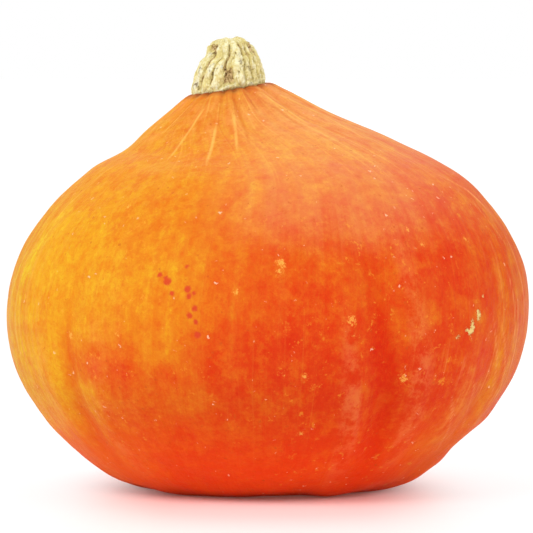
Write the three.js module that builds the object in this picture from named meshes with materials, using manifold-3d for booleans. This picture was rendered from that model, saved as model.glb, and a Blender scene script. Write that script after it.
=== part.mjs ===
// A winter squash of the onion-shaped, red-orange kind, as picked: one fruit and its dry, corky stalk.
//
// The fruit is one solid. It is a stack of level rings that a smooth curve carries from the blossom end,
// underneath, to the seat of the stalk. Shallow grooves run down it from the stalk, as they do on any squash,
// and it stands on the small flat spot that its underside wore while it grew.
// The stalk is a second solid. It is a short fluted cone with a flared foot, cut below to the fruit's own top.
//
// Units are millimetres and +Z is up. A bearing is an angle round the fruit, seen from above:
// 0 faces -Y, the front, and 90 faces +X. The origin is the middle of the fruit on the surface it stands on.

import * as THREE from "three";
import { mergeVertices } from "three/addons/utils/BufferGeometryUtils.js";
import Module from "manifold-3d";

// ---------- driving dimensions ----------

// Rings up the fruit, from the blossom end to the stalk: [lean of the centre to +X, radius, height].
const FRUIT_RINGS = [
  [-1.0, 0.0, 3.0], // bottom of the blossom dimple
  [-1.0, 6.5, 2.4],
  [-1.0, 12.5, 0.3], // lip of the dimple
  [-1.0, 20.0, -0.4], // the flat spot: heights below zero are pressed flat
  [-1.0, 30.5, 0.2],
  [-1.0, 43.0, 1.6],
  [-1.0, 55.4, 5.1],
  [-0.8, 67.2, 13.0],
  [-0.5, 79.6, 26.5],
  [-0.4, 89.2, 42.5],
  [0.0, 92.8, 61.5], // the widest ring
  [1.0, 89.9, 80.5],
  [2.3, 80.4, 97.5],
  [2.7, 66.2, 111.8],
  [-1.8, 49.2, 121.2], // the shoulder turns into the neck
  [-8.8, 32.8, 129.6],
  [-11.1, 21.2, 137.2],
  [-12.4, 13.5, 141.6], // edge of the stalk's seat
  [-13.2, 6.0, 142.4],
  [-13.4, 0.0, 142.5],
];
const DEPTH_RATIO = 0.97; // the fruit is a little less deep, front to back, than it is wide
const SEAT_SLOPE = 0.1; // the seat rises to +X by this much per millimetre
const SEAT_SLOPE_FROM = 112; // the height where that slope begins
const SEAT_SLOPE_FULL = 140; // the height where it is complete

// Grooves down the fruit: [bearing in degrees, depth].
const GROOVES = [
  [-158, 1.3],
  [-121, 1.6],
  [-86, 1.0],
  [-50, 1.5],
  [-12, 1.1],
  [28, 1.8],
  [66, 1.2],
  [97, 1.6],
  [133, 1.3],
  [170, 1.7],
];
const GROOVE_HALF_WIDTH = 6.5; // degrees
const GROOVE_RADII = [20, 55]; // no grooves inside the first radius, full depth outside the second

// Rings up the stalk, from inside the fruit's top to the broken end: [lean to +X, radius, height].
const STALK_RINGS = [
  [-13.6, 0.0, 134.0],
  [-13.6, 7.0, 134.0],
  [-13.6, 11.6, 138.5],
  [-13.6, 12.4, 143.5], // the flared foot
  [-13.5, 11.9, 148.2],
  [-13.3, 9.7, 152.8],
  [-13.1, 8.3, 156.0],
  [-13.2, 6.2, 158.8],
  [-13.2, 3.0, 160.0],
  [-13.2, 0.0, 160.2],
];
const STALK_FLUTES = 10;
const FLUTE_SHARE = 0.06; // how deep the flutes are, as a share of the stalk's radius
const STALK_GAP = 0.3; // between the stalk and the fruit

// How finely each solid is cut into facets: round it, and between one ring and the next.
const FRUIT_SIDES = 80;
const FRUIT_STEPS = 2;
const STALK_SIDES = 60;
const STALK_STEPS = 2;

// The two finishes: a waxy red-orange skin and a dry, straw-coloured stalk.
const SKIN = { color: 0xe8651c, roughness: 0.4 };
const CORK = { color: 0xd9c78f, roughness: 0.9 };

// ---------- helpers ----------

const radians = THREE.MathUtils.degToRad;
const smoothstep = THREE.MathUtils.smoothstep;

// The smooth curve through the rings. Its points hold (lean, radius, height).
function ringCurve(rings) {
  const points = rings.map((ring) => new THREE.Vector3(...ring));
  return new THREE.CatmullRomCurve3(points, false, "catmullrom", 0.5);
}

// A closed skin: a sphere's grid, where each vertex goes to surface(bearing, share of the way up).
function closedSkin(surface, sides, rows) {
  const geometry = new THREE.SphereGeometry(1, sides, rows);
  const { position, uv } = geometry.attributes;
  for (let i = 0; i < position.count; i++) {
    const point = surface(2 * Math.PI * uv.getX(i), uv.getY(i));
    position.setXYZ(i, point.x, point.y, point.z);
  }
  geometry.deleteAttribute("normal");
  geometry.deleteAttribute("uv");
  return mergeVertices(geometry, 1e-3);
}

// ---------- the fruit ----------

const fruitCurve = ringCurve(FRUIT_RINGS);

// How much the grooves take off the radius at this bearing: a bell-shaped dent for each.
function grooveDepth(bearing) {
  const halfWidth = radians(GROOVE_HALF_WIDTH);
  return GROOVES.reduce((sum, [degrees, depth]) => {
    const away = bearing - radians(degrees);
    const nearest = Math.atan2(Math.sin(away), Math.cos(away));
    return sum + depth * Math.exp(-((nearest / halfWidth) ** 2));
  }, 0);
}

function fruitSurface(bearing, up) {
  const { x: lean, y: ringRadius, z: height } = fruitCurve.getPoint(up);
  const grooved = smoothstep(ringRadius, ...GROOVE_RADII);
  const radius = ringRadius - grooved * grooveDepth(bearing);
  const across = radius * Math.sin(bearing);
  const slope = SEAT_SLOPE * smoothstep(height, SEAT_SLOPE_FROM, SEAT_SLOPE_FULL);
  return new THREE.Vector3(
    lean + across,
    -DEPTH_RATIO * radius * Math.cos(bearing),
    Math.max(height + slope * across, 0),
  );
}

function fruitGeometry() {
  return closedSkin(fruitSurface, FRUIT_SIDES, FRUIT_STEPS * (FRUIT_RINGS.length - 1));
}

// ---------- the stalk ----------

const stalkCurve = ringCurve(STALK_RINGS);

function stalkSurface(bearing, up) {
  const { x: lean, y: ringRadius, z: height } = stalkCurve.getPoint(up);
  const flute = (1 - Math.cos(STALK_FLUTES * bearing)) / 2;
  const radius = ringRadius * (1 - FLUTE_SHARE * flute);
  return new THREE.Vector3(
    lean + radius * Math.sin(bearing),
    -radius * Math.cos(bearing),
    height,
  );
}

const wasm = await Module();
wasm.setup();

function asSolid(geometry) {
  return new wasm.Manifold(
    new wasm.Mesh({
      numProp: 3,
      vertProperties: geometry.attributes.position.array,
      triVerts: new Uint32Array(geometry.index.array),
    }),
  );
}

function asGeometry(solid) {
  const { vertProperties, triVerts } = solid.getMesh();
  return new THREE.BufferGeometry()
    .setAttribute("position", new THREE.BufferAttribute(vertProperties, 3))
    .setIndex(new THREE.BufferAttribute(triVerts, 1));
}

// The stalk's foot is the fruit's own top, raised by the gap.
function stalkGeometry(fruit) {
  const rows = STALK_STEPS * (STALK_RINGS.length - 1);
  const whole = asSolid(closedSkin(stalkSurface, STALK_SIDES, rows));
  const raisedFruit = asSolid(fruit).translate([0, 0, STALK_GAP]);
  return asGeometry(whole.subtract(raisedFruit));
}

// ---------- the pumpkin ----------

function piece(name, geometry, finish) {
  const material = new THREE.MeshStandardMaterial({ ...finish, metalness: 0 });
  const mesh = new THREE.Mesh(geometry, material);
  mesh.name = name;
  return mesh;
}

const fruit = fruitGeometry();
const pumpkin = new THREE.Group();
pumpkin.name = "pumpkin";
pumpkin.add(piece("fruit", fruit, SKIN));
pumpkin.add(piece("stalk", stalkGeometry(fruit), CORK));

export default pumpkin;
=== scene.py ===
# %% [markdown]
# # An onion squash and its corky stalk
#
# The object is a small winter squash, as picked. It has two pieces: the fruit, whose waxy skin runs from
# amber on one cheek to red-orange on the other, and the dry, corky stub of its stalk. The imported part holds
# their plain solids. Here each solid is replaced by a fine surface of the same size, with the grooves,
# creases and marks of a real one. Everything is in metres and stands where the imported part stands.

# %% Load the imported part
import itertools

import bpy
import numpy as np
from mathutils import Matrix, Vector


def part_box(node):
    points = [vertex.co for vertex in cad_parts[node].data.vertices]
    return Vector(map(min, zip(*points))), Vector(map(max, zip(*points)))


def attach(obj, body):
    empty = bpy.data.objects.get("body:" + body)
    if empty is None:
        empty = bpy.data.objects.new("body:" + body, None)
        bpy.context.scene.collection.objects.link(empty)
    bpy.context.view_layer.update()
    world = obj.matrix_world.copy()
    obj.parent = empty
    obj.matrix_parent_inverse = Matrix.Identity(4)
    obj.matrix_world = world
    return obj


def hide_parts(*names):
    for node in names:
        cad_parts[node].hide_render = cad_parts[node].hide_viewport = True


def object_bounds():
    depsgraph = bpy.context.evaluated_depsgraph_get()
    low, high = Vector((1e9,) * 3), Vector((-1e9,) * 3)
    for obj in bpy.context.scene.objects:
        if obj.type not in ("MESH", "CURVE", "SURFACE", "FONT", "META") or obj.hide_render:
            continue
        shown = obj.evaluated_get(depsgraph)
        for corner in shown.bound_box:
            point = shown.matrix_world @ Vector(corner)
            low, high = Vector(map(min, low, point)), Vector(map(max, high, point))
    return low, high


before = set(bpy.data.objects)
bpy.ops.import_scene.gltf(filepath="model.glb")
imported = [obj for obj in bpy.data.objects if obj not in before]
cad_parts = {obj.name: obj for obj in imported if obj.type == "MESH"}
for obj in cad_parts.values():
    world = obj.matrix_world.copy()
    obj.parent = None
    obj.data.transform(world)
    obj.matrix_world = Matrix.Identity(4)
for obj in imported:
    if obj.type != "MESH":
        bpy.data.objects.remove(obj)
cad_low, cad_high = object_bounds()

MM = 0.001  # one millimetre, in metres
size = (cad_high - cad_low) / MM
print(f"packed part: {size.x:.1f} x {size.y:.1f} x {size.z:.1f} mm, nodes {sorted(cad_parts)}")

# %% [markdown]
# ## The camera
#
# A product picture of one fruit is taken from a step away with a long lens, a little above the table, so
# that the outline stays true. The lens is worked out from the distance and from how much of the picture's
# width the fruit fills, so the framing follows the fruit's size.

# %% The camera
CAMERA_DISTANCE = 1.8  # metres
CAMERA_ELEVATION = np.radians(3.5)
FRUIT_SHARE = 0.9735  # of the picture's width
AIM_SHARE = 0.49  # the camera aims at this share of the whole height

aim = (cad_low + cad_high) / 2
aim.z = AIM_SHARE * cad_high.z
backwards = Vector((0, -np.cos(CAMERA_ELEVATION), np.sin(CAMERA_ELEVATION)))
camera_data = bpy.data.cameras.new("camera")
camera = bpy.data.objects.new("camera", camera_data)
camera.location = aim + CAMERA_DISTANCE * backwards
camera.rotation_euler = backwards.to_track_quat("Z", "Y").to_euler()
picture_width = (cad_high.x - cad_low.x) / FRUIT_SHARE
camera_data.lens = camera_data.sensor_width * CAMERA_DISTANCE / picture_width
scene = bpy.context.scene
scene.collection.objects.link(camera)
scene.camera = camera
print(f"lens {camera_data.lens:.0f} mm, picture {picture_width / MM:.0f} mm wide at the fruit")

# %% [markdown]
# ## Shader sums
#
# A finish is a sum of patterns. Built node by node it is hard to read, so one small class wraps a socket:
# plus, minus, times and divide on it add the Math nodes, and every other node comes from its one method.
# The helpers after it read like words: smallest, largest, rise, mixed, cloud.

# %% A socket that takes part in sums
class Wire:
    """A socket of a node tree. With no socket it stands for the tree, where the first nodes are added."""

    def __init__(self, tree, socket=None):
        self.tree = tree
        self.socket = socket

    def node(self, kind, settings=None, sockets=None, output=0):
        """Adds a node, sets it, then feeds its sockets with numbers, colours or wires. Gives one output."""
        added = self.tree.nodes.new("ShaderNode" + kind)
        for name, value in (settings or {}).items():
            if name == "stops":
                elements = added.color_ramp.elements
                while len(elements) < len(value):
                    elements.new(0.5)
                for element, (place, colour) in zip(elements, value):
                    element.position = place
                    element.color = (*colour, 1)
            else:
                setattr(added, name, value)
        for name, value in (sockets or {}).items():
            if isinstance(value, Wire):
                self.tree.links.new(value.socket, added.inputs[name])
            else:
                added.inputs[name].default_value = value
        return Wire(self.tree, added.outputs[output] if len(added.outputs) else None)

    def sum(self, operation, first, second):
        return self.node("Math", {"operation": operation}, {0: first, 1: second})

    def __add__(self, other):
        return self.sum("ADD", self, other)

    def __sub__(self, other):
        return self.sum("SUBTRACT", self, other)

    def __rsub__(self, other):
        return self.sum("SUBTRACT", other, self)

    def __mul__(self, other):
        return self.sum("MULTIPLY", self, other)

    def __truediv__(self, other):
        return self.sum("DIVIDE", self, other)

    __radd__ = __add__
    __rmul__ = __mul__


# %% Small shader helpers
def smallest(a, b):
    return a.sum("MINIMUM", a, b)


def largest(a, b):
    return a.sum("MAXIMUM", a, b)


def rise(value, low, high):
    """0 below low, 1 above high, eased between. With low above high it falls instead."""
    sockets = {"Value": value, "From Min": low, "From Max": high}
    return value.node("MapRange", {"interpolation_type": "SMOOTHSTEP"}, sockets)


def mixed(factor, a, b, how="MIX"):
    """Colour a, gone over to colour b by the factor, or multiplied by it and so on."""
    a, b = (c if isinstance(c, Wire) else (*c, 1) for c in (a, b))
    settings = {"data_type": "RGBA", "blend_type": how}
    return factor.node("Mix", settings, {0: factor, 6: a, 7: b}, output=2)


def laid_over(colour, layers):
    """The colour under thin layers, laid in turn. Each has a name, its share, its colour and how it mixes."""
    for _, share, tint, how in layers:
        colour = mixed(share, colour, tint, how)
    print("layers:", ", ".join(name for name, *_ in layers))
    return colour


def scaled(vector, factors):
    """A vector with each part multiplied by its own factor."""
    return vector.node("VectorMath", {"operation": "MULTIPLY"}, {0: vector, 1: factors})


def parts(vector):
    """The X, Y and Z of a vector."""
    x_part = vector.node("SeparateXYZ", None, {0: vector}, output="X")
    return [Wire(vector.tree, socket) for socket in x_part.socket.node.outputs]


def cloud(vector, grain, detail=2.0, roughness=0.5, twist=0.0):
    """Soft noise from 0 to 1, about 0.5, whose blotches are about one grain across. A twist curls them."""
    sockets = {"Vector": vector, "Scale": 1 / grain, "Detail": detail, "Roughness": roughness}
    sockets["Distortion"] = twist
    return vector.node("TexNoise", None, sockets, output="Fac")


def place_in_mm(tree):
    """Where each point of the piece is, in millimetres."""
    return scaled(tree.node("TexCoord", output="Object"), (1 / MM,) * 3)


def painted(tree, name, output="Fac"):
    """What the mesh carries under this name: a number, or with the output "Vector" a vector."""
    return tree.node("Attribute", {"attribute_name": name}, output=output)


def new_material(name):
    """An empty material, with its tree to add the first nodes to."""
    material = bpy.data.materials.new(name)
    material.use_nodes = True
    material.node_tree.nodes.clear()
    return material, Wire(material.node_tree)


# %% [markdown]
# ## The studio
#
# The fruit stands on a plain white floor in a white room. A key light from the front left models the lobes,
# a wider fill on the right softens its shadows, and one light above and behind lights the shoulder, whose
# milky glaze is mostly a painted highlight in the rind's colour. Two low side lights and a low front light
# reach in under the belly, and a brighter red painted low on the fruit stands in for the light they don't
# bring. Each is a sun lamp with a wide angle, so it lights the whole floor alike. The room looks white to
# the camera but lights the fruit less than that, so that the lamps still model it.
#
# The camera sees the floor as a catalogue page would show it: a little darker than the fruit sees it,
# partly a soft mirror, with a painted warm glow in its shadows, and a painted white glow to the left and
# right of the fruit that lifts the shadow there.

# %% The floor
FLOOR_SIZE = 12.0  # metres
FLOOR_WHITE = 0.96  # as the fruit sees it
FLOOR_SEEN = 0.86  # as the camera sees it
FLOOR_SHEEN = 0.35  # how much of the floor the camera sees is a soft mirror
FLOOR_BLUR = 0.3  # the mirror's roughness
FLOOR_WARMTH = (0.16, 0.04, 0.03)  # light that the camera sees in the floor, so that shadows stay warm
# the floor's white glow to the left and right is painted light, which lifts the fruit's shadow there
FLOOR_GLOW_SPAN = (0.030, 0.080)  # metres to the left and right where its whitening starts and is complete
FLOOR_GLOW = 0.75  # how far it whitens

half = FLOOR_SIZE / 2
corners = [(-half, -half, 0), (half, -half, 0), (half, half, 0), (-half, half, 0)]
floor_mesh = bpy.data.meshes.new("floor")
floor_mesh.from_pydata(corners, [], [(0, 1, 2, 3)])
floor = bpy.data.objects.new("floor", floor_mesh)
scene.collection.objects.link(floor)

paper, tree = new_material("white_paper")
from_camera = tree.node("LightPath", output="Is Camera Ray")
dull = tree.node("BsdfDiffuse", None, {"Color": FLOOR_WHITE - from_camera * (FLOOR_WHITE - FLOOR_SEEN)})
sheen = tree.node("BsdfGlossy", None, {"Color": (1, 1, 1, 1), "Roughness": FLOOR_BLUR})
surface = tree.node("MixShader", None, {0: from_camera * FLOOR_SHEEN, 1: dull, 2: sheen})
warmth = tree.node("Emission", None, {"Color": (*FLOOR_WARMTH, 1), "Strength": from_camera})
surface = tree.node("AddShader", None, {0: surface, 1: warmth})
across = parts(tree.node("TexCoord", output="Object"))[0]
# painted light: a white glow the camera sees in the floor to the left and right of the fruit, lifting the
# shadow there
floor_glow_share = rise(largest(across, across * -1), *FLOOR_GLOW_SPAN) * from_camera * FLOOR_GLOW
white = tree.node("Emission", None, {"Color": (1, 1, 1, 1)})
surface = tree.node("MixShader", None, {0: floor_glow_share, 1: surface, 2: white})
tree.node("OutputMaterial", None, {"Surface": surface})
floor_mesh.materials.append(paper)
print(f"floor {FLOOR_SIZE:.0f} m square")

# %% The room and the softboxes
ROOM_LIGHT = 0.50  # what the room sends to dull surfaces
ROOM_GLOSS = 0.8  # what it sends to mirrors
SOFTBOXES = [  # name, bearing, elevation and width in degrees, irradiance
    ("key", -38, 50, 30, 1.5),
    ("fill", 32, 42, 60, 0.7),
    ("overhead", 180, 55, 60, 1.6),
    ("side_left", -82, 20, 30, 0.75),
    ("side_right", 82, 20, 30, 0.9),
    ("front_low", -10, 7, 40, 0.65),
]

world = bpy.data.worlds.new("white_room")
world.use_nodes = True
world.node_tree.nodes.clear()
scene.world = world
room = Wire(world.node_tree)
seen = room.node("LightPath", output="Is Camera Ray")
mirrored = room.node("LightPath", output="Is Glossy Ray")
strength = seen + (1 - seen) * (ROOM_LIGHT + mirrored * (ROOM_GLOSS - ROOM_LIGHT))
light = room.node("Background", None, {"Color": (1, 1, 1, 1), "Strength": strength})
room.node("OutputWorld", None, {"Surface": light})

for name, bearing, elevation, width, irradiance in SOFTBOXES:
    lamp = bpy.data.lights.new(name, "SUN")
    lamp.energy = irradiance
    lamp.angle = np.radians(width)
    softbox = bpy.data.objects.new(name, lamp)
    turn, tilt = np.radians(bearing), np.radians(elevation)
    from_lamp = Vector((np.sin(turn) * np.cos(tilt), -np.cos(turn) * np.cos(tilt), np.sin(tilt)))
    softbox.rotation_euler = from_lamp.to_track_quat("Z", "Y").to_euler()
    softbox.location = from_lamp
    scene.collection.objects.link(softbox)
scene.view_settings.view_transform = "Standard"
print("softboxes:", ", ".join(row[0] for row in SOFTBOXES))

# %% [markdown]
# ## Surfaces from two numbers
#
# Both pieces are round things stacked up an axis, so both are surfaces of two numbers: the bearing round
# the piece and the share of the way up it. A grid of those two numbers goes through one function as whole
# arrays. The first and last rows close to one point each, and the last column meets the first.

# %% A smooth curve through rings
def ring_curve(rings, up):
    """Lean, radius and height at the share up: the Catmull-Rom curve that passes through every ring."""
    rings = np.array(rings, float)
    ends = np.vstack([2 * rings[0] - rings[1], rings, 2 * rings[-1] - rings[-2]])
    at = up * (len(rings) - 1)
    step = np.minimum(at.astype(int), len(rings) - 2)
    t = (at - step)[..., None]
    before, start, end, after = (ends[step + k] for k in range(4))
    bend = 2 * before - 5 * start + 4 * end - after
    twist = 3 * (start - end) + after - before
    return start + t / 2 * (end - before + t * (bend + t * twist))


def even_steps(rings, rows):
    """Shares of the way up that lie the same distance apart along the outline."""
    fine = np.linspace(0, 1, 4001)
    outline = ring_curve(rings, fine)
    walked = np.append(0, np.cumsum(np.linalg.norm(np.diff(outline, axis=0), axis=1)))
    return np.interp(np.linspace(0, walked[-1], rows + 1), walked, fine)


def outward(rings, up):
    """The outline's outward direction at the share up, as its radius and height parts."""
    step = 1e-4
    ahead, behind = ring_curve(rings, np.minimum(up + step, 1)), ring_curve(rings, up - step)
    _, run, climb = np.moveaxis(ahead - behind, -1, 0)
    length = np.hypot(run, climb)
    return climb / length, -run / length


def eased(value, low, high):
    """0 below low, 1 above high, and the curve 3t^2 - 2t^3 between."""
    t = np.clip((value - low) / (high - low), 0, 1)
    return t * t * (3 - 2 * t)


def turn_between(bearing, other):
    """The angle from one bearing to the other, in degrees, the short way round."""
    return (bearing - other + 180) % 360 - 180


def lumps(points, grain, seed):
    """Smooth random values from -1 to 1: one for each corner of a lattice of cubes, eased between them."""
    side = 32  # the lattice repeats after this many cubes
    table = np.random.default_rng(seed).uniform(-1, 1, (side, side, side))
    cell = np.floor(points / grain).astype(int)
    share = points / grain - cell
    share = share * share * (3 - 2 * share)
    total = 0
    for corner in itertools.product((0, 1), repeat=3):
        weight = np.prod(np.where(corner, share, 1 - share), axis=-1)
        x, y, z = np.moveaxis((cell + corner) % side, -1, 0)
        total = total + weight * table[x, y, z]
    return total


# %% A closed mesh from a grid
def closed_mesh(name, points):
    """A mesh over a grid of points [row, column], in millimetres. Rows go up, columns go round."""
    rows, columns, _ = points.shape
    bottom, top = points[0].mean(0), points[-1].mean(0)
    places = np.vstack([bottom, points[1:-1].reshape(-1, 3), top]) * MM
    grid = 1 + np.arange((rows - 2) * columns).reshape(rows - 2, columns)
    beside = np.roll(grid, -1, axis=1)
    walls = np.stack([grid[:-1], beside[:-1], beside[1:], grid[1:]], -1).reshape(-1, 4)
    last = len(places) - 1
    base = np.stack([np.zeros_like(grid[0]), beside[0], grid[0]], -1)
    lid = np.stack([np.full_like(grid[-1], last), grid[-1], beside[-1]], -1)
    mesh = bpy.data.meshes.new(name)
    mesh.from_pydata(places.tolist(), [], base.tolist() + walls.tolist() + lid.tolist())
    mesh.shade_smooth()
    piece = bpy.data.objects.new(name, mesh)
    scene.collection.objects.link(piece)
    triangles = sum(len(p.vertices) - 2 for p in mesh.polygons)
    print(f"{name}: {last + 1} vertices, {triangles} triangles")
    return piece


def paint(piece, name, values):
    """Stores a grid of numbers, or of vectors, on the mesh's vertices, for the material to read."""
    columns = values[0, 0].size
    first, last = values[:1, 0].reshape(1, -1), values[-1:, 0].reshape(1, -1)
    flat = np.vstack([first, values[1:-1].reshape(-1, columns), last])
    vector = columns == 3
    attribute = piece.data.attributes.new(name, "FLOAT_VECTOR" if vector else "FLOAT", "POINT")
    attribute.data.foreach_set("vector" if vector else "value", flat.astype(np.float32).ravel())


# %% [markdown]
# ## The fruit's outline
#
# A squash swells from the blossom end, underneath, to its widest ring at two fifths of its height, and this
# kind then draws in to a neck, like an onion. The outline is a few rings, in millimetres, with a smooth
# curve through them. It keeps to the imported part's outline. The top leans to -X, and the seat of the stalk
# slopes up towards +X.

# %% The fruit's outline
FRUIT_RINGS = [  # lean of the centre to +X, radius, height
    (-1.0, 0.0, 3.0),
    (-1.0, 6.5, 2.4),
    (-1.0, 12.5, 0.3),
    (-1.0, 20.0, -0.4),
    (-0.6, 30.0, 0.2),
    (0.2, 43.0, 0.6),
    (-0.3, 55.2, 4.2),
    (-0.9, 67.0, 13.0),
    (-0.5, 79.6, 26.5),
    (-0.4, 89.2, 42.5),
    (0.0, 92.8, 61.5),
    (1.0, 89.9, 80.5),
    (2.3, 80.4, 97.5),
    (2.7, 66.2, 111.8),
    (-2.5, 48.9, 121.2),
    (-10.9, 32.0, 129.5),
    (-12.8, 19.8, 136.9),
    (-13.0, 13.0, 141.0),
    (-13.4, 6.0, 142.0),
    (-13.4, 0.0, 142.1),
]
WIDEST = 61.5  # the height of the widest ring
DEPTH_RATIO = 0.97  # the fruit's depth against its width
SEAT_SLOPE = 0.155  # how far the seat climbs in each step towards +X
UPPER_SIDE = np.linspace(0.2, 0.95, 3001)  # shares of the way up, on the side of the outline that shows


def plain_points(bearing, radius, lean, height):
    """The outline turned round its axis, before any relief. The seat slopes towards +X."""
    turn = np.radians(bearing)
    slope = SEAT_SLOPE * eased(height, 112, 140)
    across = radius * np.sin(turn)
    return np.stack([lean + across, -DEPTH_RATIO * radius * np.cos(turn), height + slope * across], -1)


def outline_point(at_bearing, at_height):
    """The plain outline's point at this bearing and height, on its upper side."""
    outline = ring_curve(FRUIT_RINGS, UPPER_SIDE)
    lean, radius, height = (np.interp(at_height, outline[:, 2], column) for column in outline.T)
    return plain_points(at_bearing, radius, lean, height)


print("the outline has", len(FRUIT_RINGS), "rings")

# %% [markdown]
# ## Grooves, creases and dimples
#
# Shallow grooves run down the fruit between its lobes, and each has a soft bank on either side. Short
# creases gather the skin where it meets the stalk. A few round dimples make the lobes unlike each other.
# Bearings are in degrees from the front, growing towards +X.

# %% Grooves, creases and dimples
GROOVES = [  # bearing at the foot, its drift in degrees by 100 mm up, depth on the shoulder, depth low down
    (-158, 5, 0.4, 1.6), (-121, -6, 0.5, 1.8), (-86, 4, 0.4, 1.2), (-52, 6, 0.6, 1.8), (-19, -10, 0.3, 0.5),
    (17, -6, 0.5, 0.4), (33, -13, 1.3, 2.9), (62, -4, 0.4, 1.2), (99, 3, 0.5, 1.8), (133, -5, 0.4, 1.6),
    (168, 4, 0.5, 1.8),
]
GROOVE_HALF_WIDTH = 4.2  # degrees
BANK_OFFSET = 8.5  # degrees from a groove's middle to the bank that stands beside it
BANK_HALF_WIDTH = 4
BANK_SHARE = 0.35  # a bank's height against its groove's depth
CREASES = [  # bearing, depth, half width in degrees, radius where it has run out
    (-172, 0.8, 5, 44), (-146, 0.9, 4, 50), (-110, 0.8, 5, 44), (-74, 0.7, 4, 48), (-50, 0.7, 5, 52),
    (-31, 0.7, 4, 50), (-8, 0.9, 5, 62), (6, 0.9, 4, 60), (24, 0.9, 5, 50), (47, 0.9, 4, 60),
    (74, 0.9, 4, 52), (105, 0.8, 4, 48), (128, 0.9, 5, 54), (152, 0.8, 4, 46),
]
DIMPLES = [  # bearing, height, half width in degrees, half height, depth
    (88, 16, 11, 5, 1.7), (88, 26, 10, 4, -0.7), (17, 86, 7, 12, 0.5), (-140, 34, 9, 9, 0.9),
    (152, 72, 11, 12, 0.7), (-105, 84, 9, 10, 0.5),
]


def groove_depths(bearing, height):
    """Bells round the fruit, deeper low down and gone by the neck: each groove's depth less its two banks."""
    lower = 1 - eased(height, 10, 85)
    fade = 1 - eased(height, 78, 112)
    total = 0
    for at, drift, above, below in GROOVES:
        away = np.abs(turn_between(bearing, at + drift * height / 100))
        cut = np.exp(-((away / GROOVE_HALF_WIDTH) ** 2))
        bank = np.exp(-(((away - BANK_OFFSET) / BANK_HALF_WIDTH) ** 2))
        total = total + (cut - BANK_SHARE * bank) * (above + (below - above) * lower) * fade
    return total


def crease_depths(bearing, radius, height):
    """Short dents that fan out from the stalk, with the skin between them standing slightly proud."""
    total = 0
    for at, depth, half_width, reach in CREASES:
        run = eased(radius, 9, 15) * (1 - eased(radius, 16, reach)) * eased(height, 90, 110)
        total = total + run * depth * (np.exp(-((turn_between(bearing, at) / half_width) ** 2)) - 0.12)
    return total


def bells(bearing, height, rows):
    """Round bells summed: each is a bell over bearing times a bell over height."""
    total = 0
    for at, level, half_width, half_height, strength in rows:
        across = turn_between(bearing, at) / half_width
        total = total + strength * np.exp(-across ** 2 - ((height - level) / half_height) ** 2)
    return total


print(len(GROOVES), "grooves,", len(CREASES), "creases,", len(DIMPLES), "dimples")

# %% [markdown]
# ## Threads
#
# Fine threads stand in the skin of the neck and down the flanks, where the fruit outgrew its skin and
# healed. Some are sunk instead. Each is given by its two ends. It lies where the skin meets a plane: the one
# that stands on its two ends and passes the fruit's middle. Soft lumps make it waver.

# %% Threads
THREADS = [  # bearing and height of its top, then of its foot, half width in millimetres, strength
    (-48, 138, -51, 128, 0.5, 0.6), (-24, 136, -40, 117, 0.55, 0.75), (-22.5, 139.5, -20, 131, 0.45, 0.5),
    (-10.5, 138.5, -21.5, 115, 0.55, 0.9), (1.5, 134, -9, 120.5, 0.6, 0.8), (8, 136, 7, 126, 0.5, 0.4),
    (33, 139, 41, 127, 0.6, 0.9), (52, 136.5, 66, 128.5, 0.55, 0.8), (66, 129, 54, 121.5, 0.6, 0.6),
    (78, 136.5, 88, 128, 0.55, 0.8), (46, 131, 50, 122, 0.5, 0.4), (60, 113, 73, 99, 0.8, 0.5),
    (67, 108, 76, 92, 0.8, 0.4), (57, 66, 69, 30, 0.6, 0.45), (62, 60, 72, 34, 0.6, 0.55),
    (66, 80, 70, 50, 0.6, 0.6), (70, 72, 74, 30, 0.7, 0.6), (48, 38, 63, 12, 0.6, 0.5),
    (53, 44, 66, 20, 0.5, 0.5), (74, 92, 77, 56, 0.7, 0.6), (64, 104, 72, 84, 0.6, 0.5),
    (-66, 92, -64, 38, 1.0, 0.4), (-70, 78, -66, 34, 0.9, 0.4), (-73, 98, -70, 42, 1.0, 0.5),
    (-62, 58, -57, 20, 0.8, 0.35), (-64, 118, -70, 92, 0.9, 0.4), (98, 136, 90, 110, 0.7, 0.6),
    (140, 137, 146, 114, 0.6, 0.8), (-165, 137, -160, 112, 0.6, 0.8), (-98, 136, -104, 116, 0.6, 0.7),
    (-130, 134, -122, 119, 0.6, 0.5), (175, 136, 168, 121, 0.6, 0.6), (114, 82, 118, 34, 0.9, 0.4),
    (-141, 78, -137, 30, 0.9, 0.4), (-112, 60, -109, 25, 0.9, 0.3), (26, 141, 42, 133, 0.8, -0.9),
    (17, 140, 20, 132, 0.7, -0.7), (-3, 108, 5, 99, 1.2, -0.5), (-33, 141, -41, 134, 0.7, -0.5),
    (-9, 140, -14, 128, 0.7, -0.6), (2, 140, -2, 122, 0.8, -0.6), (24, 140, 33, 124, 0.9, -0.5),
    (80, 141, 86, 133, 0.8, -0.7), (-90, 142, -84, 134, 0.8, -0.6), (-150, 142, -156, 134, 0.8, -0.7),
    (160, 142, 154, 134, 0.8, -0.6),
]
THREAD_STAND = 0.25  # millimetres


def threads(points):
    """How much each point is in a thread, from -1 in a sunk one to 1 in a raised one."""
    middle = outline_point(0, WIDEST) * (0, 0, 1)
    waver = 0.5 * lumps(points, 7, 12)
    total = 0
    for top_bearing, top_height, foot_bearing, foot_height, half_width, strength in THREADS:
        top, foot = outline_point(top_bearing, top_height), outline_point(foot_bearing, foot_height)
        across = np.cross(foot - top, (top + foot) / 2 - middle)
        away = (points - top) @ (across / np.linalg.norm(across)) + waver
        along = (points - top) @ (foot - top) / np.sum((foot - top) ** 2)
        ends = eased(along, -0.05, 0.12) * (1 - eased(along, 0.75, 1.05))
        this_side = (points - middle) @ (top - middle) > 0
        total = total + strength * this_side * ends * np.exp(-((away / half_width) ** 2))
    return np.clip(total, -1, 1)


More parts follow.
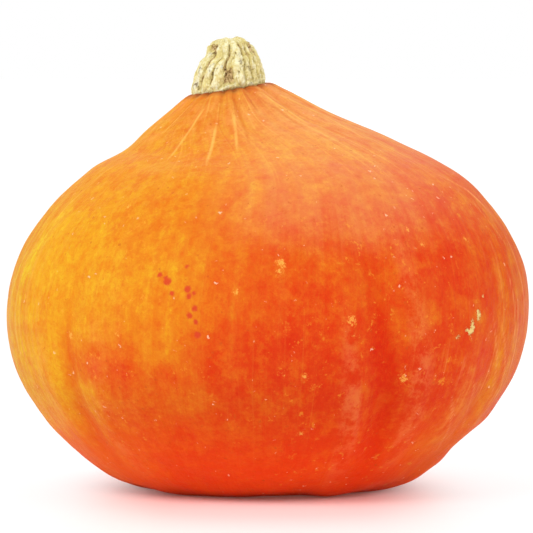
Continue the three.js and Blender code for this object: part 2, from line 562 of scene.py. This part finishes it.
print(len(THREADS), "threads")

# %% [markdown]
# ## The whole skin
#
# All of it comes together here. Soft lumps take away the look of a lathe, and low scallops ruffle the edge
# of the foot. The sum pushes each point along the outline's outward direction, and nothing goes below the
# floor, so the foot is flat.

# %% The fruit's mesh
FRUIT_COLUMNS = 480
FRUIT_ROWS = 204


def fruit_points(bearing, up):
    """Rings pushed outward by lumps, scallops and threads, and inward by creases, grooves and dimples."""
    lean, radius, height = np.moveaxis(ring_curve(FRUIT_RINGS, up), -1, 0)
    out, lift = outward(FRUIT_RINGS, up)
    height = height + 0 * bearing
    plain = plain_points(bearing, radius, 0, height)
    swell = 0.55 * lumps(plain, 34, 1) + 0.25 * lumps(plain, 13, 2) + 0.10 * lumps(plain, 5.5, 3)
    scallop = 0.9 * lumps(plain, 11, 16) * eased(radius, 28, 44) * (1 - eased(height, 3, 18))
    relief = swell * eased(radius, 20, 60) + scallop - crease_depths(bearing, radius, height)
    relief = relief - eased(radius, 60, 88) * groove_depths(bearing, height) - bells(bearing, height, DIMPLES)
    thread = threads(plain_points(bearing, radius, lean, height))
    relief = relief + THREAD_STAND * thread * eased(radius, 8, 14)
    radius = np.maximum(radius + relief * out, 0)
    points = plain_points(bearing, radius, lean, height + relief * lift)
    points[..., 2] = np.maximum(points[..., 2], 0)
    return points


def measure(points, node):
    """Prints how far a surface stands past its solid's box."""
    low, high = (np.array(corner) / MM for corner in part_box(node))
    past_low = (points.min((0, 1)) - low).round(2)
    past_high = (points.max((0, 1)) - high).round(2)
    print(f"{node} past its solid, mm:", past_low, past_high)


bearing = np.linspace(-180, 180, FRUIT_COLUMNS, endpoint=False)[None, :]
up = even_steps(FRUIT_RINGS, FRUIT_ROWS)[:, None]
skin_points = fruit_points(bearing, up)
fruit = closed_mesh("fruit_skin", skin_points)
measure(skin_points, "fruit")

# %% [markdown]
# ## What the skin's finish needs to know
#
# Colour on a squash follows its meridians: streaks run from the stalk to the blossom end. So the mesh
# carries a direction round the axis and the share of the way up it, in which noise can be drawn out into
# streaks. It also carries how deep each spot lies in a groove or a crease, where shade is painted, the
# threads, and the ring round the stalk, where a shadow is painted. Last come patches that are paler or
# redder than the rest of the skin; the narrow pale one beside the deep groove on the right is a painted
# highlight on the lobe's bank.

# %% Attributes on the skin
# patches of skin paler or redder than its ripeness; the narrow pale one at bearing 31.5, beside the deep
# groove, is a painted highlight on the lobe's bank
TONE_AND_HIGHLIGHT_PATCHES = [  # bearing, height, half width in degrees, half height, how much paler (below zero: redder)
    (-17.5, 46, 6, 17, 0.30), (-9, 25, 9, 10, 0.18), (-34, 50, 10, 11, -0.40), (0, 66, 6, 6, 0.18),
    (0, 82, 6, 6, 0.14), (-24, 81, 9, 8, 0.13), (49, 82, 6, 6, 0.17), (47, 58, 6, 9, 0.16),
    (26, 76, 5, 10, 0.40), (58, 30, 8, 11, 0.36), (50, 17, 8, 6, 0.28), (66, 40, 5, 11, 0.30),
    (-70, 127, 24, 8, 0.16), (37, 74, 5, 7, 0.22), (18, 66, 4, 6, 0.15), (31.5, 56, 3, 14, 0.22),
    (36, 56, 4, 6, 0.10), (8, 80, 6, 7, 0.12), (-46, 24, 9, 8, 0.14), (-66, 92, 10, 14, 0.20),
    (-5, 38, 11, 11, 0.10), (-9, 75, 5, 6, -0.22), (62, 18, 8, 8, 0.18), (37, 66, 5, 6, 0.12),
    (40, 92, 6, 6, 0.12), (40, 30, 6, 8, 0.12), (-38, 46, 7, 7, -0.26), (-22, 36, 6, 7, 0.14),
    (34, 52, 5, 6, -0.10), (150, 60, 13, 20, 0.25), (-128, 45, 12, 18, -0.20), (108, 40, 10, 20, 0.20),
    (-160, 84, 12, 12, 0.20),
]


def tone_and_highlight_patches(bearing, height, points):
    """How much paler each point is for its patches, whose edges wander."""
    return bells(bearing + 4 * lumps(points, 9, 14), height + 5 * lumps(points, 11, 15), TONE_AND_HIGHLIGHT_PATCHES)


turn = np.radians(bearing)
height = skin_points[..., 2]
ring_radius = ring_curve(FRUIT_RINGS, up)[..., 1] + 0 * height
paint(fruit, "meridian", np.stack(np.broadcast_arrays(np.sin(turn), np.cos(turn), up), -1))
dents = groove_depths(bearing, height) * eased(ring_radius, 30, 60)
# from this depth the rind paints shade in the grooves and creases and highlights on their banks
paint(fruit, "groove", dents / 2 + crease_depths(bearing, ring_radius, height) * 0.6)
paint(fruit, "thread", threads(skin_points))
paint(fruit, "sun", tone_and_highlight_patches(bearing, height, skin_points))
# painted shadow: a dark ring round the foot of the stalk, where the stalk shades the skin
paint(fruit, "seat", (1 - eased(ring_radius, 13.4, 16.4)) * eased(height, 120, 130))
print("skin attributes:", [a.name for a in fruit.data.attributes])

# %% [markdown]
# ## The rind's ripeness
#
# The rind is thick, waxy skin. Its colour comes from how ripe it is: amber where it was shaded, red-orange
# where the sun reached it, and paler round the neck. The cheek's direction and the height give a smooth
# ripeness, paler and redder patches, one of them a painted highlight, and noise break it up, and a ramp
# turns it into colour.

# %% Patterns in the rind
rind, tree = new_material("waxy_rind")
place = place_in_mm(tree)
x, y, z = parts(place)
meridian = painted(tree, "meridian", "Vector")
groove, thread, seat, sun = (painted(tree, name) for name in ("groove", "thread", "seat", "sun"))

big_cloud = cloud(place, 34, 3)
cloudlets = cloud(place, 11, 4, 0.6)
mottle = cloud(place, 6, 6, 0.85)
grain = cloud(place, 1.6, 3, 0.8)
streaks = cloud(scaled(meridian, (30, 30, 2.2)), 1.0, 4, 0.6)
fine_streaks = cloud(scaled(meridian, (90, 90, 5)), 1.0, 4, 0.7)

# %% Ripeness
RIPENESS = [  # from 0.2 riper than red to 0.2 paler than amber
    (0.000, (0.490, 0.023, 0.0040)),
    (0.143, (0.510, 0.036, 0.0045)),
    (0.320, (0.520, 0.062, 0.0055)),
    (0.500, (0.530, 0.102, 0.0065)),
    (0.680, (0.545, 0.160, 0.0078)),
    (0.857, (0.565, 0.245, 0.0095)),
    (1.000, (0.585, 0.340, 0.0130)),
]
# noise moves each border by up to this, in millimetres
wobble = (big_cloud - 0.5) * 40 + (cloudlets - 0.5) * 40 + (streaks - 0.5) * 34
# the amber reaches lower on the far left, and further right above the belt than below it
low = z + largest(x * -1 - 25, 0.0) * 0.8
below_belt = smallest(largest(69 - low, 0.0) * 0.95, 22.0)
towards_red = x * 0.93 + y * 0.37 + 55 + below_belt
cheek = (1 - rise(towards_red + wobble, -36.0, 36.0)) * rise(low + wobble * 0.3, 0.0, 44.0)
far_cheek = rise(x + y * 0.25 + wobble * 0.5, 46.0, 84.0) * rise(z + wobble * 0.3, -8.0, 26.0)
neck = rise(z - rise(x, 10.0, 70.0) * 20 + wobble * 0.5, 60.0, 130.0)
unripe = 1 - (1 - cheek) * (1 - neck * 0.82) * (1 - far_cheek * 0.48)
unripe = unripe + sun + (mottle - 0.5) * 1.3 + (cloudlets - 0.5) * 0.5
colour = unripe.node("ValToRGB", {"stops": RIPENESS}, {0: (unripe + 0.2) / 1.4}, output="Color")
print("ripeness runs over", len(RIPENESS), "colours")

# %% [markdown]
# ## Blotches, streaks, grooves and painted light
#
# Over the ripeness lie thin layers, from the broad to the fine: cloudy blotches and marbling, bands down
# the lobes, streaks on the neck, painted shade that darkens and reddens the groove bottoms and creases,
# painted highlights on the pinkish banks beside them, a painted milky glaze on the shoulder, a brighter red
# painted low down where little light reaches under the belly, fine lines on the flanks, pale lines on the
# right rim that are partly painted highlights, the threads with painted shade in the sunk ones, and a
# painted shadow round the foot of the stalk. Flanks are where the skin turns far to the left or right.

# %% Blotches, streaks, grooves and painted light
SIDE = 92  # how far out the skin reaches to the left and right, in millimetres

flank = rise(parts(meridian)[0] * x / SIDE, 0.68, 0.95)
blotch = rise(cloudlets + (mottle - 0.5) * 1.2 + (streaks - 0.5) * 0.4, 0.46, 0.78)
marble = cloud(place, 5.0, 4, 0.65, 1.3) + (grain - 0.5) * 0.35
bands = cloud(scaled(meridian, (7, 7, 0.6)), 1.0, 3, 0.6)
on_neck = rise(z, 104.0, 128.0)
# painted highlights on the banks beside the grooves and between the creases
bank = rise(groove * -1, 0.03, 0.35) * rise(cloudlets + (mottle - 0.5), 0.38, 0.62)
# painted glaze: a milky highlight painted on the shoulder, where the light above falls
painted_glaze = rise(x, -30.0, 10.0) * rise(z + wobble * 0.3, 84.0, 106.0) * (1 - rise(x, 45.0, 72.0) * 0.6)
# painted light: a brighter red low down, standing in for light that the lamps don't bring under the belly
belly_light_side = largest(rise(x, -28.0, -58.0), rise(x, 36.0, 62.0))
painted_belly_light = mixed(belly_light_side, (0.90, 0.060, 0.004), (0.90, 0.160, 0.012))
lines = cloud(scaled(meridian, (17, 17, 1.1)), 1.0, 3, 0.6)
# pale lines on the right rim: partly streaks in the skin, partly painted highlights on its ridges
rim_lines_and_highlights = rise(cloud(scaled(meridian, (64, 64, 6)), 1.0, 3, 0.7), 0.52, 0.68)
right_side = rise(x, 46.0, 80.0) * (0.35 + rise(z, 66.0, 40.0) * 0.65)
dab = rise(cloud(place, 3.4, 4, 0.7, 0.3), 0.60, 0.68) * rise(big_cloud, 0.42, 0.60)
dry_thread = mixed(rise(x, 20.0, 55.0), (0.66, 0.38, 0.08), (0.72, 0.34, 0.12))
colour = laid_over(colour, [
    ("blotches", blotch * 0.20, (0.60, 0.17, 0.010), "MIX"),
    ("light marbling", rise(marble, 0.50, 0.66) * 0.30, (1.05, 1.55, 1.35), "MULTIPLY"),
    ("dark marbling", rise(marble, 0.48, 0.34) * 0.35, (1.0, 0.64, 0.5), "MULTIPLY"),
    ("dark bands", rise(bands, 0.48, 0.34) * 0.30, (1.0, 0.68, 0.5), "MULTIPLY"),
    ("light bands", rise(bands, 0.52, 0.66) * 0.25, (1.04, 1.40, 1.25), "MULTIPLY"),
    ("fine streaks", rise(fine_streaks, 0.54, 0.74) * (0.09 + flank * 0.36), (0.62, 0.27, 0.035), "MIX"),
    ("light neck streaks", rise(streaks, 0.56, 0.68) * on_neck * 0.5, (0.66, 0.36, 0.045), "MIX"),
    ("dark neck streaks", rise(streaks, 0.44, 0.34) * on_neck * 0.5, (0.95, 0.68, 0.6), "MULTIPLY"),
    # painted shade in the bottoms of the grooves and creases
    ("painted groove shade", rise(groove, 0.10, 0.8) * 0.80, (0.94, 0.46, 0.4), "MULTIPLY"),
    ("banks", bank * 0.24, (0.66, 0.20, 0.08), "MIX"),
    ("painted_glaze", painted_glaze * (0.12 + mottle * 0.08), (0.66, 0.35, 0.22), "MIX"),
    ("painted_belly_light", rise(z, 40.0, -2.0) * 0.6, painted_belly_light, "MIX"),
    ("dark lines", rise(lines, 0.50, 0.36) * (0.22 + flank * 0.40), (1.0, 0.66, 0.5), "MULTIPLY"),
    ("light lines", rise(lines, 0.52, 0.66) * (0.20 + flank * 0.35), (1.02, 1.35, 1.6), "MULTIPLY"),
    ("rim lines and painted highlights", rim_lines_and_highlights * right_side * rise(cloudlets, 0.42, 0.62) * 0.42, (0.72, 0.31, 0.11), "MIX"),
    ("dabs", dab * 0.40, (0.66, 0.30, 0.03), "MIX"),
    ("red grain", rise(grain, 0.50, 0.75) * 0.22, (0.42, 0.035, 0.0015), "MIX"),
    ("raised threads", rise(thread, 0.05, 0.8) * rise(mottle, 0.24, 0.50) * 0.62, dry_thread, "MIX"),
    # painted shade in the sunk threads
    ("painted shade in sunk threads", rise(thread * -1, 0.05, 0.9) * 0.5, (0.46, 0.075, 0.005), "MIX"),
    # painted shadow round the foot of the stalk
    ("seat", seat * rise(mottle, 0.3, 0.55), (0.25, 0.06, 0.015), "MIX"),
])

# %% [markdown]
# ## Marks
#
# Larger marks have places of their own: a trail of red dots, a dry scar and pale spots. Each is a ball of
# colour round a point of the skin, and noise eats into its edge. The smallest are everywhere: white flecks
# and red pores in some of the cells of a pattern, and nicks where its cells meet.

# %% Places on the skin
RED_DOTS = [  # bearing, height and radius, as for all the marks
    (-24.5, 80.5, 0.9), (-22.5, 78.5, 1.4), (-21, 74.5, 0.8), (-17.5, 76, 1.2), (-17, 73.5, 1.0),
    (-18.5, 83.5, 0.6), (-15.5, 69.5, 1.0), (-16.5, 67, 1.0), (-15, 65, 0.8), (-14.5, 60.5, 1.2),
    (-23, 79.5, 0.8), (-16, 74.5, 0.6), (140, 80, 1.2), (142, 77, 1.0), (138, 76, 0.8),
]
DRY_SCARS = [
    (51.3, 66.2, 0.8), (51.6, 65.0, 0.9), (51.4, 63.9, 0.6), (49.3, 63.4, 0.4), (49.5, 62.3, 0.6),
    (49.7, 61.0, 0.8), (49.5, 60.1, 0.9), (48.9, 59.5, 0.9), (48.0, 60.4, 0.6), (53.5, 71.4, 0.35),
    (45.2, 58.3, 0.4), (-128, 48, 1.5), (-126.5, 45.5, 1.2), (160, 90, 1.1),
]
PALE_SPOTS = [
    (8.5, 46.5, 1.1), (32, 44.5, 1.5), (-47.5, 58, 1.0), (-7, 75.5, 0.9), (9, 26, 0.9), (-33, 60, 0.8),
    (4, 47, 0.7), (-41, 102.5, 0.6), (52, 91, 0.6), (34, 95, 0.7), (6, 114.5, 0.5), (18, 65.5, 1.6),
    (19, 60, 0.9), (2.5, 85, 1.5), (2.2, 82, 1.0), (37, 90, 0.5), (-66, 70, 0.5), (100, 60, 0.8),
    (120, 95, 0.6), (-100, 84, 0.7), (-150, 66, 0.8), (178, 50, 0.7),
]


def on_skin(at_bearing, at_height):
    """The point of the skin at this bearing and height, in millimetres, on the outline's upper side."""
    heights = ring_curve(FRUIT_RINGS, UPPER_SIDE)[:, 2]
    share = np.interp(at_height, heights, UPPER_SIDE)
    return fruit_points(np.array([[float(at_bearing)]]), np.array([[share]]))[0, 0]


def nearest_mark(marks):
    """How far it is to the edge of the nearest mark, in millimetres. Each is a bearing, height and radius."""
    nearest = None
    for at_bearing, at_height, radius in marks:
        sockets = {0: place, 1: tuple(on_skin(at_bearing, at_height))}
        away = place.node("VectorMath", {"operation": "DISTANCE"}, sockets, output="Value") - radius
        nearest = away if nearest is None else smallest(nearest, away)
    return nearest


# how far noise moves the marks' edges in and out, in millimetres
ragged = (cloud(place, 1.1, 3, 0.7) - 0.5) * 2.4
shredded = (cloud(place, 1.3, 4, 0.85) - 0.5) * 9.0
crumbled = (cloud(place, 0.8, 3, 0.8) - 0.5) * 4.0
red_dot = rise(nearest_mark(RED_DOTS) + ragged * 0.6, 0.5, -0.5)
pale_spot = rise(nearest_mark(PALE_SPOTS) + shredded, 0.2, -1.2)
dry_scar = rise(nearest_mark(DRY_SCARS) + crumbled, 0.3, -0.2)
print(len(RED_DOTS + DRY_SCARS + PALE_SPOTS), "marks have places")

# %% Flecks, pores and nicks
FLECK_JITTER = 2.4  # how far the flecks' pattern is shaken, in millimetres, so that none is round
NICK_CELL = 6.0  # how far apart the nicks' cells are, in millimetres

jitter = place.node("TexNoise", None, {"Vector": place, "Scale": 0.9, "Detail": 2.0}, output="Color")
jitter = jitter.node("VectorMath", {"operation": "SUBTRACT"}, {0: jitter, 1: (0.5, 0.5, 0.5)})
shaken = place.node("VectorMath", {"operation": "ADD"}, {0: place, 1: scaled(jitter, (FLECK_JITTER,) * 3)})


def flecks(spacing, reach, share, stretch=(1, 1, 1)):
    """Small spots, one in a share of the cells of a pattern drawn out by stretch. They reach that far
    across a cell, and the cells lie the spacing apart, in millimetres."""
    sockets = {"Vector": scaled(shaken, stretch), "Scale": 1 / spacing, "Randomness": 1.0}
    spot = place.node("TexVoronoi", None, sockets, output="Distance")
    cells = Wire(rind.node_tree, spot.socket.node.outputs["Color"])
    lot = cells.node("SeparateColor", None, {0: cells}, output=0)
    return rise(spot, reach, reach * 0.4) * rise(lot, 1 - share, 1 - share + 0.02)


white_fleck = largest(flecks(6.0, 0.10, 0.40), flecks(8.0, 0.07, 0.4, (1.8, 1.8, 0.5)))
white_fleck = largest(white_fleck, flecks(8.0, 0.07, 0.4, (0.6, 0.6, 2.2)))
white_fleck = largest(white_fleck, flecks(3.4, 0.12, 0.25) * 0.5)
red_pore = largest(flecks(4.5, 0.13, 0.55), flecks(2.7, 0.12, 0.35))
border = {"Vector": place, "Scale": 1 / NICK_CELL}
border = place.node("TexVoronoi", {"feature": "DISTANCE_TO_EDGE"}, border) * NICK_CELL
nick = rise(border, 0.26, 0.10) * rise(cloud(place, 2.4, 2), 0.78, 0.81)
colour = laid_over(colour, [
    ("red dots", red_dot * 0.9, (0.48, 0.038, 0.014), "MIX"),
    ("pale spots", pale_spot * 0.62, (0.74, 0.40, 0.07), "MIX"),
    ("dry scars", dry_scar, (0.62, 0.44, 0.16), "MIX"),
    ("white flecks", white_fleck * 0.66, (0.76, 0.50, 0.32), "MIX"),
    ("red pores", red_pore * 0.55, (0.40, 0.06, 0.008), "MIX"),
    ("nicks", nick * 0.6, (0.76, 0.46, 0.27), "MIX"),
])

# %% [markdown]
# ## The rind's relief and gloss
#
# Underneath, where the flower sat, is a round brown scar with a darker point. The finest relief, too small
# for the mesh, is a bump in millimetres: pores everywhere, ribs on the flanks, and the marks standing
# slightly proud. The skin's wax is dull, so its gloss is low, and the scars have none.

# %% The rind's relief and gloss
blossom_centre = (FRUIT_RINGS[0][0], 0.0, FRUIT_RINGS[0][2])
away = place.node("VectorMath", {"operation": "DISTANCE"}, {0: place, 1: blossom_centre}, output="Value")
blossom = rise(away + ragged * 1.2, 9.0, 7.0)
colour = laid_over(colour, [
    ("blossom scar", blossom, (0.42, 0.27, 0.11), "MIX"),
    ("its middle", rise(away + ragged, 3.0, 1.8), (0.16, 0.09, 0.035), "MIX"),
])
ribbing = (fine_streaks - 0.5) * (0.15 + flank * 0.35) + (streaks - 0.5) * flank * 0.9
pores = (grain - 0.5) * 0.12 + (cloud(place, 4.5, 3) - 0.5) * 0.55 + ribbing
marks = dry_scar * 0.18 - red_dot * 0.06 + white_fleck * 0.05 + blossom * 0.4 * (1 + ragged)
relief = tree.node("Bump", None, {"Strength": 1.0, "Distance": MM, "Height": pores + marks})
dullness = 0.48 + (cloudlets - 0.5) * 0.2 + dry_scar * 0.4 + blossom * 0.4
rind_shader = tree.node("BsdfPrincipled", None, {
    "Base Color": colour,
    "Roughness": dullness,
    "Specular IOR Level": 0.03,
    "Normal": relief,
})
tree.node("OutputMaterial", None, {"Surface": rind_shader})
fruit.data.materials.append(rind)
print("rind:", len(rind.node_tree.nodes), "nodes")

# %% [markdown]
# ## The stalk's shape
#
# The stalk of this kind of squash is a short, thick plug of cork with a flared foot. As it dried, it
# shrank into hard pale ridges with dark furrows between them. It is a ring surface again. Each ridge is a
# rounded band that starts and stops at its own height, and the surface takes the highest ridge at each
# spot, so that where two meet they leave a sharp furrow. A collar of cork runs round the foot, and knobs on
# the top end the ridges.

# %% The stalk's rings and ridges
STALK_RINGS = [  # lean of the centre to +X, radius, height
    (-13.5, 0.0, 138.1),
    (-13.5, 8.0, 138.1),
    (-13.5, 12.0, 139.2),
    (-13.5, 12.9, 141.4),
    (-13.5, 12.9, 144.6),
    (-13.4, 12.0, 148.1),
    (-12.9, 10.7, 151.4),
    (-12.4, 9.4, 153.6),
    (-12.9, 8.4, 156.0),
    (-13.0, 6.4, 158.0),
    (-13.0, 3.4, 159.0),
    (-13.0, 0.0, 159.2),
]
RIDGES = [  # bearing, half width in degrees, lean of the ridge with height, from and to in height, stand
    (-84, 13, 4, 140, 158, 0.9), (-65, 12, 6, 140, 155, 1.0), (-38, 13, 8, 140, 160, 0.9),
    (-16, 11, 4, 142, 160, 1.2), (2, 4.5, 0, 149, 160, 0.85), (19, 13, -9, 142, 160, 1.25),
    (36, 7, -5, 143, 158, 0.8), (51, 9, -3, 142, 157, 1.0), (67, 9, 0, 140, 154, 0.9),
    (85, 10, 3, 140, 158, 1.0), (105, 11, 5, 142, 160, 1.1), (127, 12, -4, 140, 158, 1.0),
    (147, 9, 4, 143, 160, 0.9), (166, 12, -5, 140, 160, 1.1), (-173, 9, 3, 143, 157, 0.9),
    (-152, 13, 5, 140, 160, 1.1), (-129, 10, -4, 142, 158, 0.9), (-108, 12, 3, 140, 160, 1.1),
]
KNOBS = [  # x, y from the stalk's middle, radius, height
    (3.4, -2.4, 3.2, 1.2), (-1.6, -3.6, 2.0, 1.0), (-4.4, 0.6, 2.6, 0.4), (2.0, 3.8, 2.6, 0.9),
    (-1.8, 3.6, 2.2, 0.3),
]
FURROW_DEPTH = 1.6
COLLAR_HEIGHT = 142.5
STALK_TILT = 0.19  # the foot rises to +X, as the fruit's seat does


def stalk_ridges(bearing, height):
    """How proud each spot is, from 0 in a furrow to about 1 on a ridge: the highest ridge there."""
    proud = 0 * (bearing + height)
    for at, half_width, lean, start, stop, stand in RIDGES:
        centre = at + lean * (height - 148) / 10
        across = np.clip(1 - np.abs(turn_between(bearing, centre) / half_width) ** 3, 0, 1)
        along = eased(height, start - 2, start + 2) * (1 - eased(height, stop - 1, stop + 2))
        proud = np.maximum(proud, stand * across * along)
    return proud


def stalk_points(bearing, up):
    """Rings with ridges and cork lumps on them, a foot that follows the seat, and knobs on the top."""
    lean, radius, height = np.moveaxis(ring_curve(STALK_RINGS, up), -1, 0)
    turn = np.radians(bearing)
    plain = np.stack([radius * np.sin(turn), -radius * np.cos(turn), height * 0.45 + 0 * turn], -1)
    wander = bearing + 4 * lumps(plain, 4, 5) + 3 * lumps(plain, 1.3, 6)
    proud = stalk_ridges(wander, height + 1.2 * lumps(plain, 5, 7))
    collar = np.exp(-(((height - COLLAR_HEIGHT - 0.7 * lumps(plain, 4, 11)) / 1.5) ** 2))
    proud = np.maximum(proud, collar * 0.85)
    proud = np.maximum(proud, 0.8 * eased(height + 0.8 * lumps(plain, 2.2, 13), 156.4, 158.2))
    rough = 0.5 * lumps(plain, 2.6, 8) + 0.4 * lumps(plain, 1.1, 9) + 0.2 * lumps(plain, 0.55, 10)
    rough = rough * (1 + 0.8 * np.clip(1 - proud, 0, 1))
    shift = eased(radius, 1, 6) * (FURROW_DEPTH * (proud - 1) * eased(radius, 3, 9) + rough)
    radius = np.maximum(radius + shift, 0)
    across, back = radius * np.sin(turn), -radius * np.cos(turn)
    knob = sum(tall * np.exp(-((across - kx) ** 2 + (back - ky) ** 2) / wide ** 2 * 1.6)
               for kx, ky, wide, tall in KNOBS)
    top = eased(height, 153, 157.5)
    height = height + STALK_TILT * across * (1 - eased(height, 142, 156)) + top * (knob + 0.6 * rough)
    return np.stack([lean + across, back, height], -1), proud


# %% The stalk's mesh
STALK_COLUMNS = 400
STALK_ROWS = 220

bearing = np.linspace(-180, 180, STALK_COLUMNS, endpoint=False)[None, :]
up = even_steps(STALK_RINGS, STALK_ROWS)[:, None]
cork_points, proud = stalk_points(bearing, up)
stalk = closed_mesh("corky_stalk", cork_points)
turn = np.radians(bearing)
paint(stalk, "meridian", np.stack(np.broadcast_arrays(np.sin(turn), np.cos(turn), up), -1))
paint(stalk, "proud", proud)
measure(cork_points, "stalk")

# %% [markdown]
# ## Cork
#
# Dry cork is straw-coloured and dead matt. The ridges have weathered to a pale cream and the furrows are
# darkened with painted shade, so the colour follows how proud each spot is. Fibres run up the stalk, and
# brown pits and crumbs break them.

# %% The cork's colour and relief
# the colour ramp runs from painted shade in the furrows to the pale ridges
CORK_LEVELS = [  # from the furrows to the ridges
    (0.00, (0.15, 0.090, 0.025)),
    (0.25, (0.33, 0.235, 0.070)),
    (0.50, (0.54, 0.430, 0.150)),
    (0.75, (0.66, 0.570, 0.260)),
    (1.00, (0.76, 0.720, 0.470)),
]
cork, tree = new_material("dry_cork")
place = place_in_mm(tree)
proud = painted(tree, "proud")
fibres = cloud(scaled(painted(tree, "meridian", "Vector"), (22, 22, 12)), 1.0, 4, 0.7, 0.6)
crumbs = cloud(place, 1.2, 4, 0.7, 0.8)
stain = cloud(place, 4.0, 3)
level = proud * 0.45 + 0.36 + (fibres - 0.5) * 0.9 + (crumbs - 0.5) * 1.5
colour = level.node("ValToRGB", {"stops": CORK_LEVELS}, {0: level}, output="Color")
# painted shade in the furrows, broken by paler crumbs
furrow = rise(proud + (crumbs - 0.5) * 0.8, 0.42, 0.18)
furrow_shade_colour = mixed(rise(crumbs, 0.42, 0.58), (0.24, 0.135, 0.045), (0.66, 0.47, 0.24))
bleached = rise(stain, 0.48, 0.34) * rise(proud, 0.6, 0.95)
pit = rise(crumbs + (stain - 0.5) * 0.6, 0.36, 0.27)
colour = laid_over(colour, [
    ("olive stains", rise(stain, 0.50, 0.70) * 0.35, (0.58, 0.46, 0.10), "MIX"),
    ("bleached ridges", bleached * 0.6, (0.72, 0.70, 0.55), "MIX"),
    ("painted shade in the furrows", furrow * 0.75, furrow_shade_colour, "MIX"),
    ("pits", pit * 0.8, (0.20, 0.105, 0.035), "MIX"),
])
cork_height = (fibres - 0.5) * 0.4 + (crumbs - 0.5) * 0.7 - pit * 0.3
relief = tree.node("Bump", None, {"Strength": 1.0, "Distance": MM, "Height": cork_height})
cork_shader = tree.node("BsdfPrincipled", None, {
    "Base Color": colour,
    "Roughness": 0.85,
    "Specular IOR Level": 0.2,
    "Normal": relief,
})
tree.node("OutputMaterial", None, {"Surface": cork_shader})
stalk.data.materials.append(cork)
print("cork:", len(cork.node_tree.nodes), "nodes")

# %% [markdown]
# ## Tie the surfaces to the imported part
#
# Each fine surface rides on the part's one body and stands for its plain solid, which is hidden.

# %% Pieces and bodies
for piece, node, slot in ((fruit, "fruit", "rind"), (stalk, "stalk", "cork")):
    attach(piece, "root")
    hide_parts(node)
